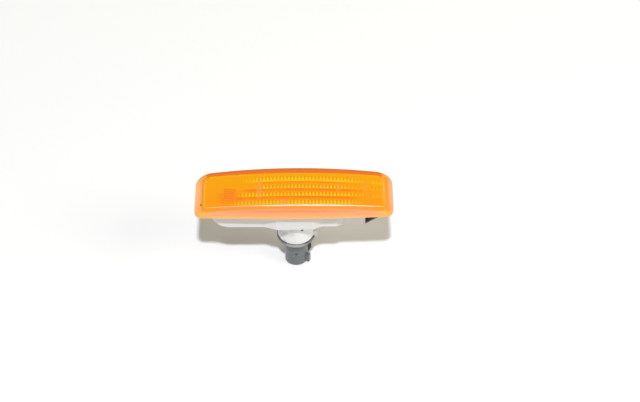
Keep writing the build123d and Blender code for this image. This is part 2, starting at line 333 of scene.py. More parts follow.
@dataclass(frozen=True)
class PrismRow:
    """One row of prisms behind the lens's face.

    Attributes:
        foot: Level of its foot at mid length.
        start: Where its bars stand out in full.
        lead: Length over which they come in.
        end: Where its bars and its band have faded out.
        fade: Length over which they fade out.
        band: How deep the orange band above the bars is.
        band_start: Where the band stands out in full.
        tail: How much of the bars comes back at the lens's right end.
        tall: Height of the bars as a share of the row's.
        wide: Half width of a bar's foot as a share of the pitch.
        gap: How dark the gaps between the bars are.
    """

    foot: float
    start: float
    lead: float
    end: float
    fade: float
    band: float = 0.0
    band_start: float = 0.0
    tail: float = 0.0
    tall: float = 0.50
    wide: float = 0.40
    gap: float = 1.0


@dataclass(frozen=True)
class PrismField:
    """Rows of prisms behind the lens's face, painted as bright bars below orange bands: the bars are
    painted light that the prisms gather, and the gaps and bands are painted darker.

    Attributes:
        rows: The rows, from the lens's lower edge upwards.
        head: Level at which the uppermost row ends.
        pitch: Distance from one bar to the next.
        tail_rise: Where the bars come back at the lens's right end.
        band_rise: Shares of a row's height between which its band comes in.
        band_lead: Length over which a band comes in.
        arch: How strongly the rows are arched at mid width, per metre.
        arch_growth: How much more they are arched further up, per square metre.
        bar_lean: How much a bar narrows towards its tip.
        blur: Softness of every edge, as a share of a row's height.
    """

    rows: tuple[PrismRow, ...] = (
        PrismRow(
            foot=-11.3 * MM, start=-27.0 * MM, lead=8.0 * MM, end=40.0 * MM, fade=12.0 * MM,
            band=1.0, band_start=-31.0 * MM,
        ),
        PrismRow(
            foot=-5.2 * MM, start=-26.0 * MM, lead=6.0 * MM, end=46.0 * MM, fade=20.0 * MM,
            band=1.0, band_start=-22.0 * MM, tail=0.6,
        ),
        PrismRow(
            foot=0.5 * MM, start=-16.5 * MM, lead=3.0 * MM, end=44.0 * MM, fade=30.0 * MM,
            band=0.65, band_start=-14.0 * MM, tail=0.6,
        ),
        PrismRow(
            foot=6.0 * MM, start=-15.0 * MM, lead=17.0 * MM, end=46.0 * MM, fade=24.0 * MM,
            tail=0.6, tall=0.85, wide=0.54, gap=0.7,
        ),
    )
    head: float = 10.8 * MM
    pitch: float = 1.9 * MM
    tail_rise: Span = (40.5 * MM, 42.0 * MM)
    band_rise: Span = (0.45, 0.95)
    band_lead: float = 9.0 * MM
    arch: float = 1.0
    arch_growth: float = 60.0
    bar_lean: float = 0.55
    blur: float = 0.05

    def marks(self, x: Signal, y: Signal) -> tuple[Signal, Signal, Signal]:
        """Where the bright bars, the gaps beside them and the orange bands show.

        Args:
            x: Place along the lens.
            y: Place across the lens.

        Returns:
            Masks of the bars, of the gaps and of the bands.
        """
        level = y + x * x * (self.arch + self.arch_growth * y)
        cell = ((x / self.pitch).math("FRACT") - 0.5).math("ABSOLUTE")
        soft = 2 * self.blur
        feet = [row.foot for row in self.rows[1:]] + [self.head]
        bars, gaps, bands = [], [], []
        for row, next_foot in zip(self.rows, feet):
            within = (level - row.foot) / (next_foot - row.foot)
            inside = within.ramp(-self.blur, self.blur)
            shown = 1 - x.ramp(row.end - row.fade, row.end)
            strip = inside * (1 - within.ramp(row.tall - soft, row.tall + soft))
            strip = strip * shown.math("MAXIMUM", x.ramp(*self.tail_rise) * row.tail)
            strip = strip * x.ramp(row.start - row.lead, row.start)
            # painted light: the bright bars; the gaps and bands are painted darker
            bar = (row.wide - self.bar_lean * within - cell).ramp(-soft, soft)
            bars.append(strip * bar)
            gaps.append(strip * (1 - bar) * row.gap)
            band = inside * within.ramp(*self.band_rise) * (1 - within.ramp(1 - self.blur, 1 + self.blur))
            band = band * shown * x.ramp(row.band_start - self.band_lead, row.band_start)
            bands.append(band * row.band)
        return sum(bars), sum(gaps), sum(bands)


@dataclass(frozen=True)
class Smear:
    """Soft oval patch on a surface."""

    x: float
    y: float
    half_length: float
    half_width: float
    share: float
    edge: Span = (0.2, 1.0)

    def mask(self, x: Signal, y: Signal) -> Signal:
        """How much of the patch shows at a place."""
        along, across = (x - self.x) / self.half_length, (y - self.y) / self.half_width
        return (1 - (along * along + across * across).ramp(*self.edge)) * self.share


@dataclass(frozen=True)
class AmberMoulding:
    """Clear amber acrylic of the lens, with painted light where its prisms and edges gather light:
    painted glows, glints, highlights and reflections, and painted shade on its upper slope.

    Each span of lengths is where one tone gives way to the next.
    """

    name: str = "amber_moulding"
    shape: LensShape = LensShape()
    prisms: PrismField = PrismField()

    # Colours of the face, with its prisms, its hazy patches and its painted highlights and glows
    colour: Colour = (1.0, 0.350, 0.010)
    upper_colour: Colour = (1.0, 0.415, 0.005)
    # painted light of the prisms: bright bars, with darker gaps and bands
    bar_colour: Colour = (1.0, 0.61, 0.018)
    gap_colour: Colour = (0.86, 0.33, 0.003)
    band_colour: Colour = (1.0, 0.218, 0.014)
    smear_colour: Colour = (1.0, 0.385, 0.050)
    # painted highlight along the face's upper edge
    top_edge_highlight_colour: Colour = (1.0, 0.46, 0.010)
    # painted glow at the face's two ends
    face_end_glow_colour: Colour = (1.0, 0.46, 0.012)

    # Colours of the ledge, the bevels and the rim around the face, with painted reflections, shade,
    # glints, glow and highlight
    ledge_colour: Colour = (0.92, 0.352, 0.078)
    ledge_end_colour: Colour = (0.95, 0.36, 0.025)
    bevel_colour: Colour = (0.94, 0.195, 0.012)
    # painted reflection, paler towards the bevel's foot
    bevel_reflection_colour: Colour = (0.97, 0.315, 0.092)
    # painted reflections on the two end bevels
    left_end_reflection_colour: Colour = (1.0, 0.43, 0.135)
    right_end_reflection_colour: Colour = (1.0, 0.35, 0.120)
    # painted shade on the upper slope, and a painted reflection along its outer edge
    brow_shade_colour: Colour = (0.94, 0.205, 0.014)
    brow_edge_reflection_colour: Colour = (0.95, 0.28, 0.11)
    # painted glint at the lens's corners
    corner_glint_colour: Colour = (1.0, 0.44, 0.040)
    # painted glow on the rim, with a faint emission although it is no lamp
    rim_glow_colour: Colour = (0.98, 0.48, 0.155)
    rim_glow_emission: Colour = (0.07, 0.021, 0.003)
    # painted highlight along the face's lower edge
    edge_highlight_colour: Colour = (1.0, 0.66, 0.40)
    dirt_colour: Colour = (0.30, 0.08, 0.012)

    # Heights above the ledge, and then above the panel
    face_rise: Span = (0.10 * MM, 0.45 * MM)
    edge_rise: Span = (0.10 * MM, 0.30 * MM)
    edge_top: Span = (0.60 * MM, 0.80 * MM)
    ledge_rise: Span = (-0.30 * MM, -0.02 * MM)
    bevel_height: Span = (2.7 * MM, 3.6 * MM)
    rim_height: Span = (1.8 * MM, 2.6 * MM)

    # Places across the lens, and then along it
    tone_width: Span = (-12.0 * MM, 12.0 * MM)
    top_edge_highlight_level: Span = (11.0 * MM, 11.8 * MM)
    brow_level: Span = (12.0 * MM, 12.9 * MM)
    brow_fade: Span = (14.5 * MM, 18.4 * MM)
    # where the painted highlight along the lower edge shows
    edge_highlight_level: Span = (-9.0 * MM, -7.0 * MM)
    edge_highlight_middle: float = 6.0 * MM
    edge_highlight_reach: Span = (12.0 * MM, 33.0 * MM)
    corner_reach: Span = (46.3 * MM, 48.4 * MM)
    face_end: Span = (46.4 * MM, 47.8 * MM)
    ledge_end: Span = (34.0 * MM, 47.8 * MM)
    left_end: Span = (49.0 * MM, 50.2 * MM)
    right_end: Span = (49.8 * MM, 50.8 * MM)

    # Patches, painted corner glints, and how much of each mark shows
    smears: tuple[Smear, ...] = (
        Smear(-18.6 * MM, 0.5 * MM, 2.2 * MM, 10.0 * MM, 0.6),
        Smear(-5.7 * MM, -9.8 * MM, 3.0 * MM, 2.4 * MM, 0.7),
        Smear(16.0 * MM, 1.3 * MM, 1.5 * MM, 2.8 * MM, 0.5),
        Smear(23.5 * MM, 1.2 * MM, 1.5 * MM, 4.5 * MM, 0.5),
        Smear(37.8 * MM, 1.2 * MM, 1.6 * MM, 5.0 * MM, 0.5),
    )
    # painted glints at the two lower corners
    corner_glints: tuple[Smear, ...] = (
        Smear(-49.5 * MM, -16.8 * MM, 6.0 * MM, 3.2 * MM, 0.6),
        Smear(49.8 * MM, -16.8 * MM, 6.0 * MM, 3.2 * MM, 0.6),
    )
    warm_patch: Smear = Smear(-33.5 * MM, -6.0 * MM, 9.0 * MM, 6.5 * MM, 0.4)
    speck: Smear = Smear(-49.65 * MM, -9.9 * MM, 0.6 * MM, 0.9 * MM, 1.0)
    edge_highlight_share: float = 0.7
    face_end_glow_share: float = 0.5
    least_marks: float = 0.5
    least_bands: float = 0.55
    patches: Grain = Grain(9.0 * MM, 2.0)
    patch_span: Span = (0.30, 0.62)

    # Clearness, gloss and relief
    refraction: float = 1.49
    clearness: float = 0.10
    roughness: float = 0.06
    scuffs: Grain = Grain(0.5 * MM, 6.0)
    scuffed_roughness: float = 0.06
    edge_highlight_roughness: float = 0.1
    end_roughness: float = 0.2
    ripple: Grain = Grain(3.0 * MM, 1.0)
    ripple_depth: float = 0.02 * MM
    ripple_strength: float = 0.4

    def make(self) -> bpy.types.Material:
        """Build the material.

        Returns:
            Finished material.
        """
        bench = Bench.for_material(self.name)
        x, y, z = bench.axes()
        rise = z + self.shape.fall(x, y) - (self.shape.crest - self.shape.step)
        around, face = self.bevel(bench, x, z, rise), self.face(bench, x, y)
        tone = self.brow(bench, bench.blend(rise.ramp(*self.face_rise), around, face), x, y)
        # painted glow on the rim
        rim = 1 - z.ramp(*self.rim_height)
        tone = bench.blend(rim, tone, self.rim_glow_colour)
        # painted glints at the two lower corners
        tone = bench.blend(sum(glow.mask(x, y) for glow in self.corner_glints), tone, self.corner_glint_colour)
        # painted highlight along the face's lower edge, made rougher so the lamp's glint spreads
        edge = rise.ramp(*self.edge_rise) * (1 - rise.ramp(*self.edge_top))
        edge = edge * (1 - y.ramp(*self.edge_highlight_level))
        along = 1 - (x - self.edge_highlight_middle).math("ABSOLUTE").ramp(*self.edge_highlight_reach)
        tone = bench.blend(edge * along * self.edge_highlight_share, tone, self.edge_highlight_colour)
        tone = bench.blend(self.speck.mask(x, y), tone, self.dirt_colour)
        worn = self.scuffed_roughness * bench.noise(self.scuffs) + self.edge_highlight_roughness * edge
        worn = worn + self.end_roughness * x.math("ABSOLUTE").ramp(*self.face_end)
        return bench.finish(
            Base_Color=tone,
            Roughness=self.roughness + worn,
            IOR=self.refraction,
            Transmission_Weight=self.clearness,
            # painted rim glow as a faint emission
            Emission_Color=bench.blend(rim, BLACK, self.rim_glow_emission),
            Emission_Strength=1.0,
            Normal=bench.bump(bench.noise(self.ripple), self.ripple_depth, self.ripple_strength),
        )

    def face(self, bench: Bench, x: Signal, y: Signal) -> Signal:
        """Colour of the raised face, with its prisms.

        Args:
            bench: Bench of the material.
            x: Place along the lens.
            y: Place across the lens.

        Returns:
            Colour of the face.
        """
        patches = bench.noise(self.patches).ramp(*self.patch_span)
        marks = self.least_marks + (1 - self.least_marks) * patches
        depth = self.least_bands + (1 - self.least_bands) * patches
        bars, gaps, bands = self.prisms.marks(x, y)
        tone = bench.blend(y.ramp(*self.tone_width), self.colour, self.upper_colour)
        tone = bench.blend(self.warm_patch.mask(x, y), tone, self.band_colour)
        # painted prism pattern: darker bands and gaps, and bright bars of painted light
        tone = bench.blend(bands * depth, tone, self.band_colour)
        tone = bench.blend(gaps * marks, tone, self.gap_colour)
        tone = bench.blend(bars * marks, tone, self.bar_colour)
        smeared = sum(smear.mask(x, y) for smear in self.smears)
        tone = bench.blend(smeared, tone, self.smear_colour)
        # painted highlight along the face's upper edge
        tone = bench.blend(self.shape.arched(x, y).ramp(*self.top_edge_highlight_level), tone, self.top_edge_highlight_colour)
        # painted glow at the face's two ends
        ends = x.math("ABSOLUTE").ramp(*self.face_end)
        return bench.blend(ends * self.face_end_glow_share, tone, self.face_end_glow_colour)

    def bevel(self, bench: Bench, x: Signal, z: Signal, rise: Signal) -> Signal:
        """Colour of the ledge, the bevel and the ends around the face, with painted reflections on the
        bevel and the ends.

        Args:
            bench: Bench of the material.
            x: Place along the lens.
            z: Height above the panel.
            rise: Height above the ledge.

        Returns:
            Colour of the bevel.
        """
        # painted reflection, paler towards the bevel's foot
        tone = bench.blend(z.ramp(*self.bevel_height), self.bevel_reflection_colour, self.bevel_colour)
        ends = x.math("ABSOLUTE").ramp(*self.ledge_end)
        ledge = bench.blend(ends, self.ledge_colour, self.ledge_end_colour)
        tone = bench.blend(rise.ramp(*self.ledge_rise), tone, ledge)
        # painted reflections on the two end bevels
        tone = bench.blend((-1 * x).ramp(*self.left_end), tone, self.left_end_reflection_colour)
        return bench.blend(x.ramp(*self.right_end), tone, self.right_end_reflection_colour)

    def brow(self, bench: Bench, tone: Signal, x: Signal, y: Signal) -> Signal:
        """Paint shade on the slope along the upper edge, with a painted reflection along its outer edge,
        and paint glints on its two corners.

        Args:
            bench: Bench of the material.
            tone: Colour of the lens without them.
            x: Place along the lens.
            y: Place across the lens.

        Returns:
            Colour of the lens with them.
        """
        upper = self.shape.arched(x, y)
        # painted shade on the upper slope, painted reflection at its edge, painted glints at its corners
        slope = upper.ramp(*self.brow_level)
        corner = x.math("ABSOLUTE").ramp(*self.corner_reach)
        brow = bench.blend(upper.ramp(*self.brow_fade), self.brow_shade_colour, self.brow_edge_reflection_colour)
        return bench.blend(slope, tone, bench.blend(corner, brow, self.corner_glint_colour))


@dataclass(frozen=True)
class PadMoulding(AmberMoulding):
    """Amber acrylic of the bare pad, with painted shade along its upper and left edges."""

    name: str = "amber_pad"
    colour: Colour = (1.0, 0.300, 0.014)
    upper_colour: Colour = (1.0, 0.325, 0.012)
    pad: PadShape = PadShape()
    # painted shade along the pad's upper and left edges
    pad_edge_shade_colour: Colour = (0.84, 0.215, 0.005)
    pad_edge: float = 0.8 * MM
    pad_edge_shade_share: float = 0.75

    def face(self, bench: Bench, x: Signal, y: Signal) -> Signal:
        """Colour of the pad.

        Args:
            bench: Bench of the material.
            x: Place along the lens.
            y: Place across the lens.

        Returns:
            Colour of the pad.
        """
        tone = super().face(bench, x, y)
        # painted shade along the upper and left edges
        left = 1 - x.ramp(self.pad.left, self.pad.left + self.pad_edge)
        top = y.ramp(self.pad.top - self.pad_edge, self.pad.top)
        return bench.blend(left.math("MAXIMUM", top) * self.pad_edge_shade_share, tone, self.pad_edge_shade_colour)


@dataclass(frozen=True)
class WhiteMoulding:
    """White satin plastic of the housing, with painted amber light beside the lens, grey streaks on the
    collar's left front and a painted shadow of a notch.
    """

    colour: Colour = (0.785, 0.78, 0.768)
    tray_colour: Colour = (0.715, 0.70, 0.685)
    # painted amber light from the lens on the walls beside it
    amber_bounce_colour: Colour = (0.95, 0.76, 0.64)
    grey_mark_colour: Colour = (0.36, 0.35, 0.34)
    # painted shadow of a notch on the collar's front
    notch_shade_colour: Colour = (0.05, 0.045, 0.04)
    tray_level: float = -12.4 * MM
    tray_blend: float = 1.0 * MM
    amber_bounce_height: Span = (-7.0 * MM, -1.0 * MM)
    soil: Grain = Grain(4.5 * MM, 5.0)
    streak_span: Span = (0.46, 0.62)
    streak_reach: Span = (-5.0 * MM, 4.0 * MM)
    streak_front: Span = (-3.0 * MM, 3.0 * MM)
    streak_depth: float = 1.5 * MM
    streak_share: float = 0.5
    clouds: Grain = Grain(14.0 * MM)
    cloud_span: Span = (0.5, 0.8)
    cloud_share: float = 0.08
    notch_shade: Smear = Smear(4.1 * MM, -17.3 * MM, 1.0 * MM, 0.75 * MM, 1.0)
    notch_side: Span = (-8.0 * MM, -7.0 * MM)
    grain: Grain = Grain(0.35 * MM, 4.0)
    grain_depth: float = 0.03 * MM
    grain_strength: float = 0.6
    refraction: float = 1.5
    roughness: float = 0.42
    grain_roughness: float = 0.16

    def make(self) -> bpy.types.Material:
        """Build the material.

        Returns:
            Finished material.
        """
        bench = Bench.for_material("white_moulding")
        x, y, z = bench.axes()
        grain = bench.noise(self.grain)
        tray = z.ramp(self.tray_level, self.tray_level + self.tray_blend)
        tone = bench.blend(tray, self.colour, self.tray_colour)
        # painted amber light from the lens on the walls beside it
        tone = bench.blend(z.ramp(*self.amber_bounce_height), tone, self.amber_bounce_colour)
        # grey noise streaks on the collar's left front, and faint grey clouding all over
        soil = bench.noise(self.soil).ramp(*self.streak_span) * (1 - x.ramp(*self.streak_reach))
        soil = soil * (1 - z.ramp(self.tray_level - self.streak_depth, self.tray_level))
        soil = soil * (1 - y.ramp(*self.streak_front))
        clouds = bench.noise(self.clouds).ramp(*self.cloud_span)
        tone = bench.blend(soil * self.streak_share + clouds * self.cloud_share, tone, self.grey_mark_colour)
        # painted shadow of a notch on the collar's front
        notch_shade = self.notch_shade.mask(x, z) * (1 - y.ramp(*self.notch_side))
        tone = bench.blend(notch_shade, tone, self.notch_shade_colour)
        return bench.finish(
            Base_Color=tone,
            Roughness=self.roughness + self.grain_roughness * grain,
            IOR=self.refraction,
            Normal=bench.bump(grain, self.grain_depth, self.grain_strength),
        )


@dataclass(frozen=True)
class DarkMoulding:
    """Dark satin plastic of the bulb holder, with painted shade on its wing and its gate dimple, and a
    painted highlight on its flange's front.
    """

    colour: Colour = (0.130, 0.142, 0.145)
    worn_colour: Colour = (0.150, 0.164, 0.168)
    # painted shade on the wing and in the gate dimple
    wing_shade_colour: Colour = (0.012, 0.012, 0.013)
    # painted highlight on the flange's rim at its front
    flange_highlight_colour: Colour = (0.34, 0.35, 0.35)
    flange_highlight_radius: Span = (9.4 * MM, 9.9 * MM)
    flange_highlight_front: Span = (-10.2 * MM, -7.5 * MM)
    worn: Grain = Grain(4.0 * MM, 5.0)
    worn_span: Span = (0.4, 0.75)
    boss_x: float = 0.6 * MM
    shroud_radius: Span = (6.3 * MM, 6.6 * MM)
    wing_side: Span = (-1.0 * MM, 0.0)
    wing_top: Span = (-31.0 * MM, -30.0 * MM)
    gate_level: float = -39.3 * MM
    gate_radius: float = 0.9 * MM
    gate_side: Span = (-5.0 * MM, -4.0 * MM)
    gate_share: float = 0.8
    grain: Grain = Grain(0.3 * MM, 4.0)
    grain_depth: float = 0.04 * MM
    grain_strength: float = 0.7
    refraction: float = 1.53
    roughness: float = 0.18
    grain_roughness: float = 0.2

    def make(self) -> bpy.types.Material:
        """Build the material.

        Returns:
            Finished material.
        """
        bench = Bench.for_material("dark_moulding")
        x, y, z = bench.axes()
        worn = bench.noise(self.worn).ramp(*self.worn_span)
        grain = bench.noise(self.grain)
        across = x - self.boss_x
        radius = (across * across + y * y).math("SQRT")
        # painted shade: the wing, in the collar's shadow, and the gate dimple
        wing = radius.ramp(*self.shroud_radius) * y.ramp(*self.wing_side) * (1 - z.ramp(*self.wing_top))
        gate_z = z - self.gate_level
        gate = 1 - (across * across + gate_z * gate_z).ramp(0.0, self.gate_radius**2)
        gate = gate * (1 - y.ramp(*self.gate_side)) * self.gate_share
        tone = bench.blend(worn, self.colour, self.worn_colour)
        # painted highlight on the flange's rim at its front
        flange_highlight = radius.ramp(*self.flange_highlight_radius) * (1 - y.ramp(*self.flange_highlight_front))
        tone = bench.blend(flange_highlight, tone, self.flange_highlight_colour)
        tone = bench.blend(wing.math("MAXIMUM", gate), tone, self.wing_shade_colour)
        return bench.finish(
            Base_Color=tone,
            Roughness=self.roughness + self.grain_roughness * grain,
            IOR=self.refraction,
            Normal=bench.bump(grain, self.grain_depth, self.grain_strength),
        )


@dataclass(frozen=True)
class SealRubber:
    """Matt black rubber of the holder's seal, dusty in patches, with painted light along its front."""

    colour: Colour = (0.012, 0.012, 0.013)
    dusty_colour: Colour = (0.04, 0.039, 0.037)
    # painted light along the seal's front
    lit_front_colour: Colour = (0.30, 0.30, 0.295)
    front: Span = (-9.6 * MM, -7.4 * MM)
    dust: Grain = Grain(1.2 * MM, 5.0)
    dust_span: Span = (0.5, 0.8)
    dust_depth: float = 0.03 * MM
    dust_strength: float = 0.6
    roughness: float = 0.7
    dust_roughness: float = 0.2

    def make(self) -> bpy.types.Material:
        """Build the material.

        Returns:
            Finished material.
        """
        bench = Bench.for_material("seal_rubber")
        _, y, _ = bench.axes()
        dust = bench.noise(self.dust)
        tone = bench.blend(dust.ramp(*self.dust_span), self.colour, self.dusty_colour)
        return bench.finish(
            # painted light along the seal's front
            Base_Color=bench.blend(1 - y.ramp(*self.front), tone, self.lit_front_colour),
            Roughness=self.roughness + self.dust_roughness * dust,
            Normal=bench.bump(dust, self.dust_depth, self.dust_strength),
        )


@dataclass(frozen=True)
class SheetMetal:
    """Bright or dark metal, stained in patches and finely grained."""

    name: str
    colour: Colour
    stained_colour: Colour
    roughness: float = 0.3
    metallic: float = 1.0
    stain: Grain = Grain(2.5 * MM, 4.0)
    stain_span: Span = (0.35, 0.75)
    stain_roughness: float = 0.25
    grain: Grain = Grain(0.15 * MM)
    grain_depth: float = 0.008 * MM
    grain_strength: float = 0.6

    def make(self) -> bpy.types.Material:
        """Build the material.

        Returns:
            Finished material.
        """
        bench = Bench.for_material(self.name)
        stain = bench.noise(self.stain)
        grain = bench.noise(self.grain)
        return bench.finish(
            Base_Color=bench.blend(stain.ramp(*self.stain_span), self.colour, self.stained_colour),
            Metallic=self.metallic,
            Roughness=self.roughness + self.stain_roughness * stain * grain,
            Normal=bench.bump(grain, self.grain_depth, self.grain_strength),
        )


@dataclass(frozen=True)
class ClearGlass:
    """Clear glass of the bulb, faintly hazed."""

    colour: Colour = (0.97, 0.98, 0.98)
    hazed_colour: Colour = (0.88, 0.88, 0.86)
    haze: Grain = Grain(3.0 * MM)
    roughness: float = 0.02
    haze_roughness: float = 0.03
    refraction: float = 1.5
    clearness: float = 1.0

    def make(self) -> bpy.types.Material:
        """Build the material.

        Returns:
            Finished material.
        """
        bench = Bench.for_material("clear_glass")
        haze = bench.noise(self.haze)
        return bench.finish(
            Base_Color=bench.blend(haze, self.colour, self.hazed_colour),
            Roughness=self.roughness + self.haze_roughness * haze,
            IOR=self.refraction,
            Transmission_Weight=self.clearness,
        )


@dataclass(frozen=True)
class FloorPaper:
    """Pale matt paper of the studio's floor, paler towards the back."""

    colour: Colour = (0.95, 0.952, 0.96)
    fibre_colour: Colour = (0.965, 0.967, 0.975)
    back_colour: Colour = (0.985, 0.99, 1.0)
    fibre: Grain = Grain(2.0 * MM)
    back: Span = (0.05, 0.5)
    roughness: float = 0.9
    shine: float = 0.0

    def make(self) -> bpy.types.Material:
        """Build the material.

        Returns:
            Finished material.
        """
        bench = Bench.for_material("floor_paper")
        _, y, _ = bench.axes()
        tone = bench.blend(bench.noise(self.fibre), self.colour, self.fibre_colour)
        tone = bench.blend(y.ramp(*self.back), tone, self.back_colour)
        return bench.finish(Base_Color=tone, Roughness=self.roughness, Specular_IOR_Level=self.shine)


@dataclass(frozen=True)
class CardVelvet:
    """Dark velvet of the studio's card, which thins out towards its sides and its top."""

    colour: Colour = (0.02, 0.02, 0.02)
    side_fade: Span = (0.15, 0.34)
    top_fade: Span = (0.62, 0.95)
    roughness: float = 0.95

    def make(self) -> bpy.types.Material:
        """Build the material.

        Returns:
            Finished material.
        """
        bench = Bench.for_material("card_velvet")
        x, _, z = bench.axes()
        cover = (1 - x.math("ABSOLUTE").ramp(*self.side_fade)) * (1 - z.ramp(*self.top_fade))
        return bench.finish(Base_Color=self.colour, Roughness=self.roughness, Alpha=cover)


@dataclass
class Dresser:
    """Gives finishes to the solids that come from the frame."""

    nodes: dict[str, bpy.types.Object]

    def dress(self, node: str, material: bpy.types.Material) -> None:
        """Put a material on a solid.

        Args:
            node: Name of the solid.
            material: Its finish.
        """
        mesh = self.nodes[node].data
        mesh.materials.clear()
        mesh.materials.append(material)
        LOG.info("%s wears %s", node, material.name)


def add_piece(
    name: str, mesh: bpy.types.Mesh, finish: bpy.types.Material, body: Body
) -> bpy.types.Object:
    """Add a dressed piece that moves with one of the lamp's bodies.

    Args:
        name: Name of the piece.
        mesh: Its mesh, in the lamp's own frame.
        finish: Its material.
        body: Body that it moves with.

    Returns:
        The new piece.
    """
    mesh.materials.append(finish)
    for polygon in mesh.polygons:
        polygon.use_smooth = True
    piece = bpy.data.objects.new(name, mesh)
    bpy.context.scene.collection.objects.link(piece)
    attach(piece, body.value)
    LOG.info("%s rides on %s", name, body.value)
    return piece


@dataclass
class Lens:
    """Amber lens with its prisms and the bare pad on its face.

    Attributes:
        dresser: Gives the lens's solid its finish.
        shape: Form of the face that carries the pad.
        pad: Form of the pad.
        moulding: Finish of the lens.
        pad_moulding: Finish of the pad.
        corner_steps: Steps round each of the pad's corners.
        edge_steps: Steps up the pad's rounded edge.
        edge_inset: How far each of them steps in, as a share of the pad.
        flat_share: Share of the pad that is flat.
        flat_rings: Rings from the flat's edge to its middle.
    """

    dresser: Dresser
    shape: LensShape = LensShape()
    pad: PadShape = PadShape()
    moulding: AmberMoulding = AmberMoulding()
    pad_moulding: PadMoulding = PadMoulding()
    corner_steps: int = 6
    edge_steps: int = 4
    edge_inset: float = 0.012
    flat_share: float = 0.95
    flat_rings: int = 8

    def build(self) -> None:
        """Dress the lens and lay its pad."""
        self.dresser.dress("lens", self.moulding.make())
        add_piece("lens_pad", self.pad_mesh(), self.pad_moulding.make(), Body.LAMP)

    def face_height(self, x: float, y: float) -> float:
        """Height of the lens's face at a place."""
        return self.shape.crest - self.shape.fall(x, y)

    def pad_outline(self) -> list[Place]:
        """Rounded outline of the pad around its own middle.

        Returns:
            Points of the outline.
        """
        half_x, half_y = (side / 2 - self.pad.corner for side in self.pad.size)
        points = []
        for quarter, (side_x, side_y) in enumerate(((1, 1), (-1, 1), (-1, -1), (1, -1))):
            for step in range(self.corner_steps + 1):
                turn = (quarter + step / self.corner_steps) * pi / 2
                along = side_x * half_x + self.pad.corner * cos(turn)
                across = side_y * half_y + self.pad.corner * sin(turn)
                points.append((along, across))
        return points

    def pad_rings(self) -> list[tuple[float, float]]:
        """Rings of the pad, from its root over its rounded edge to its middle.

        Returns:
            Size of each ring as a share of the outline, and its height above the face.
        """
        rings = [(1.0, -self.pad.root)]
        for step in range(self.edge_steps + 1):
            lift = sin(step / self.edge_steps * pi / 2) * self.pad.height
            rings.append((1.0 - self.edge_inset * step, lift))
        for ring in range(1, self.flat_rings):
            rings.append((self.flat_share * (1 - ring / self.flat_rings), self.pad.height))
        return rings

    def pad_mesh(self) -> bpy.types.Mesh:
        """Thin pad with a rounded edge, rooted in the lens's crowned face.

        Returns:
            Mesh of the pad.
        """
        outline = self.pad_outline()
        shape = bmesh.new()
        loops = []
        for share, lift in self.pad_rings():
            loop = []
            for along, across in outline:
                x, y = self.pad.centre[0] + share * along, self.pad.centre[1] + share * across
                loop.append(shape.verts.new((x, y, self.face_height(x, y) + lift)))
            loops.append(loop)
        for lower, upper in zip(loops, loops[1:]):
            for index in range(len(outline)):
                following = (index + 1) % len(outline)
                shape.faces.new((lower[index], lower[following], upper[following], upper[index]))
        shape.faces.new(loops[-1])
        shape.faces.new(loops[0][::-1])
        bmesh.ops.recalc_face_normals(shape, faces=shape.faces)
        mesh = bpy.data.meshes.new("lens_pad")
        shape.to_mesh(mesh)
        shape.free()
        return mesh


@dataclass
class Housing:
    """White housing with its steel clip."""

    dresser: Dresser
    moulding: WhiteMoulding = WhiteMoulding()
    steel: SheetMetal = SheetMetal(
        "spring_steel", (0.30, 0.255, 0.225), (0.22, 0.18, 0.155), roughness=0.4, metallic=0.6
    )

    def build(self) -> None:
        """Dress the housing and its clip."""
        self.dresser.dress("housing", self.moulding.make())
        self.dresser.dress("retaining_clip", self.steel.make())


